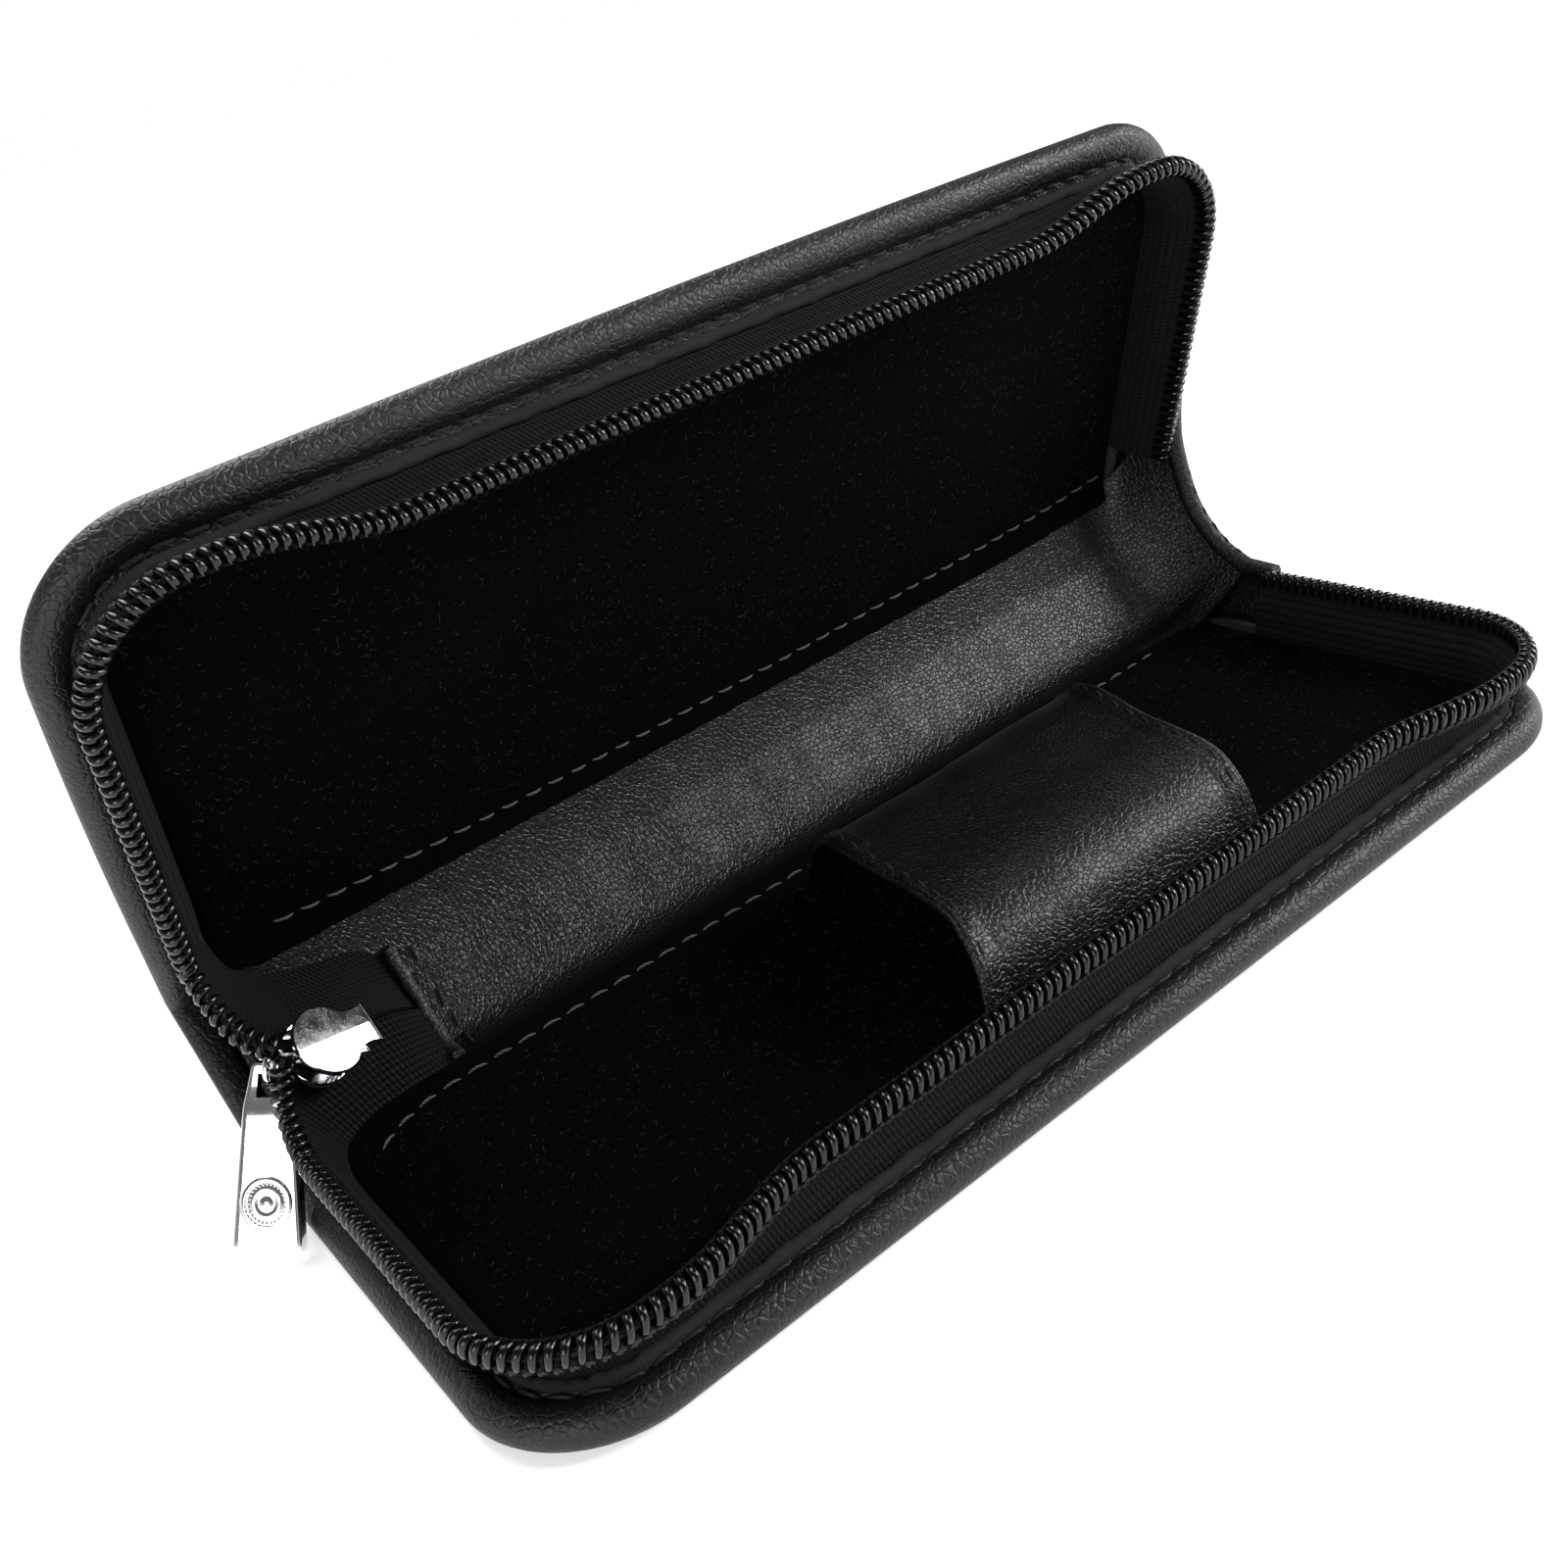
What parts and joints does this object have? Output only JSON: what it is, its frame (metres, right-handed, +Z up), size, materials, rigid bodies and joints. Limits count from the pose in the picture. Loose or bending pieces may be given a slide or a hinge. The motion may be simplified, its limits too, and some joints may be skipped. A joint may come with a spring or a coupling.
{
  "type": "zip-around pen case",
  "caption": "Zip-around black leather case for fountain pens: two padded halves on a flexible spine, a pen sleeve inside, open zip with slider and pull.",
  "frame": {"origin": "under the middle of the open case, on the table", "axes": "+X along the case away from the slider, +Y towards the spine and the lid, +Z up"},
  "size_m": [0.1736, 0.0834, 0.0806],
  "materials": {
    "outer_leather": "fine-grained black calf, satin",
    "inner_leather": "smooth black leather, satin with a soft sheen",
    "velour": "black cotton velour, matt",
    "zip_tape": "black woven polyester tape",
    "zip_coil": "glossy black nylon",
    "stiffener": "grey fibreboard",
    "edge_filler": "soft cotton cord",
    "plated_metal": "polished nickel plating"
  },
  "bodies": {
    "base": {"base_cover": "outer_leather", "base_edge_filler": "edge_filler", "base_stiffener": "stiffener", "base_lining": "velour", "base_zip_tape": "zip_tape", "base_zip_coil": "zip_coil", "pen_sleeve": "inner_leather", "pen_sleeve_lining": "velour"},
    "spine": {"spine_cover": "outer_leather", "spine_lining": "inner_leather", "spine_lining_hem": "inner_leather", "end_gusset": "outer_leather", "stub_zip_tape": "zip_tape", "stub_zip_chain": "zip_coil", "zip_bottom_stop": "plated_metal", "slider_body": "plated_metal"},
    "lid": {"lid_cover": "outer_leather", "lid_edge_filler": "edge_filler", "lid_stiffener": "stiffener", "lid_lining": "velour", "lid_zip_tape": "zip_tape", "lid_zip_coil": "zip_coil"},
    "loop": {"slider_loop": "plated_metal"},
    "pull": {"pull_tab": "plated_metal", "pull_medallion": "plated_metal"}
  },
  "joints": [
    {"name": "spine_hinge", "type": "hinge", "parent": "base", "child": "spine", "pos_m": [0.0045, 0.02427, 0.0014], "axis": [1, 0, 0], "range_deg": [-13, 42.8]},
    {"name": "lid_hinge", "type": "hinge", "parent": "spine", "child": "lid", "pos_m": [0.0045, 0.04071, 0.01916], "axis": [1, 0, 0], "range_deg": [-8, 26.2]},
    {"name": "loop_turn", "type": "hinge", "parent": "spine", "child": "loop", "pos_m": [-0.07315, 0.01931, 0.01771], "axis": [0.618, 0.2271, -0.7527], "range_deg": [-15.4, 50.6]},
    {"name": "pull_swing", "type": "hinge", "parent": "loop", "child": "pull", "pos_m": [-0.07315, 0.01931, 0.01771], "axis": [-0.6942, 0.6912, 0.2007], "range_deg": [0, 20]}
  ],
  "couplings": [
    {"joint": "lid_hinge", "follows": "spine_hinge", "ratio": 0.612},
    {"joint": "loop_turn", "follows": "spine_hinge", "ratio": 1.18}
  ]
}
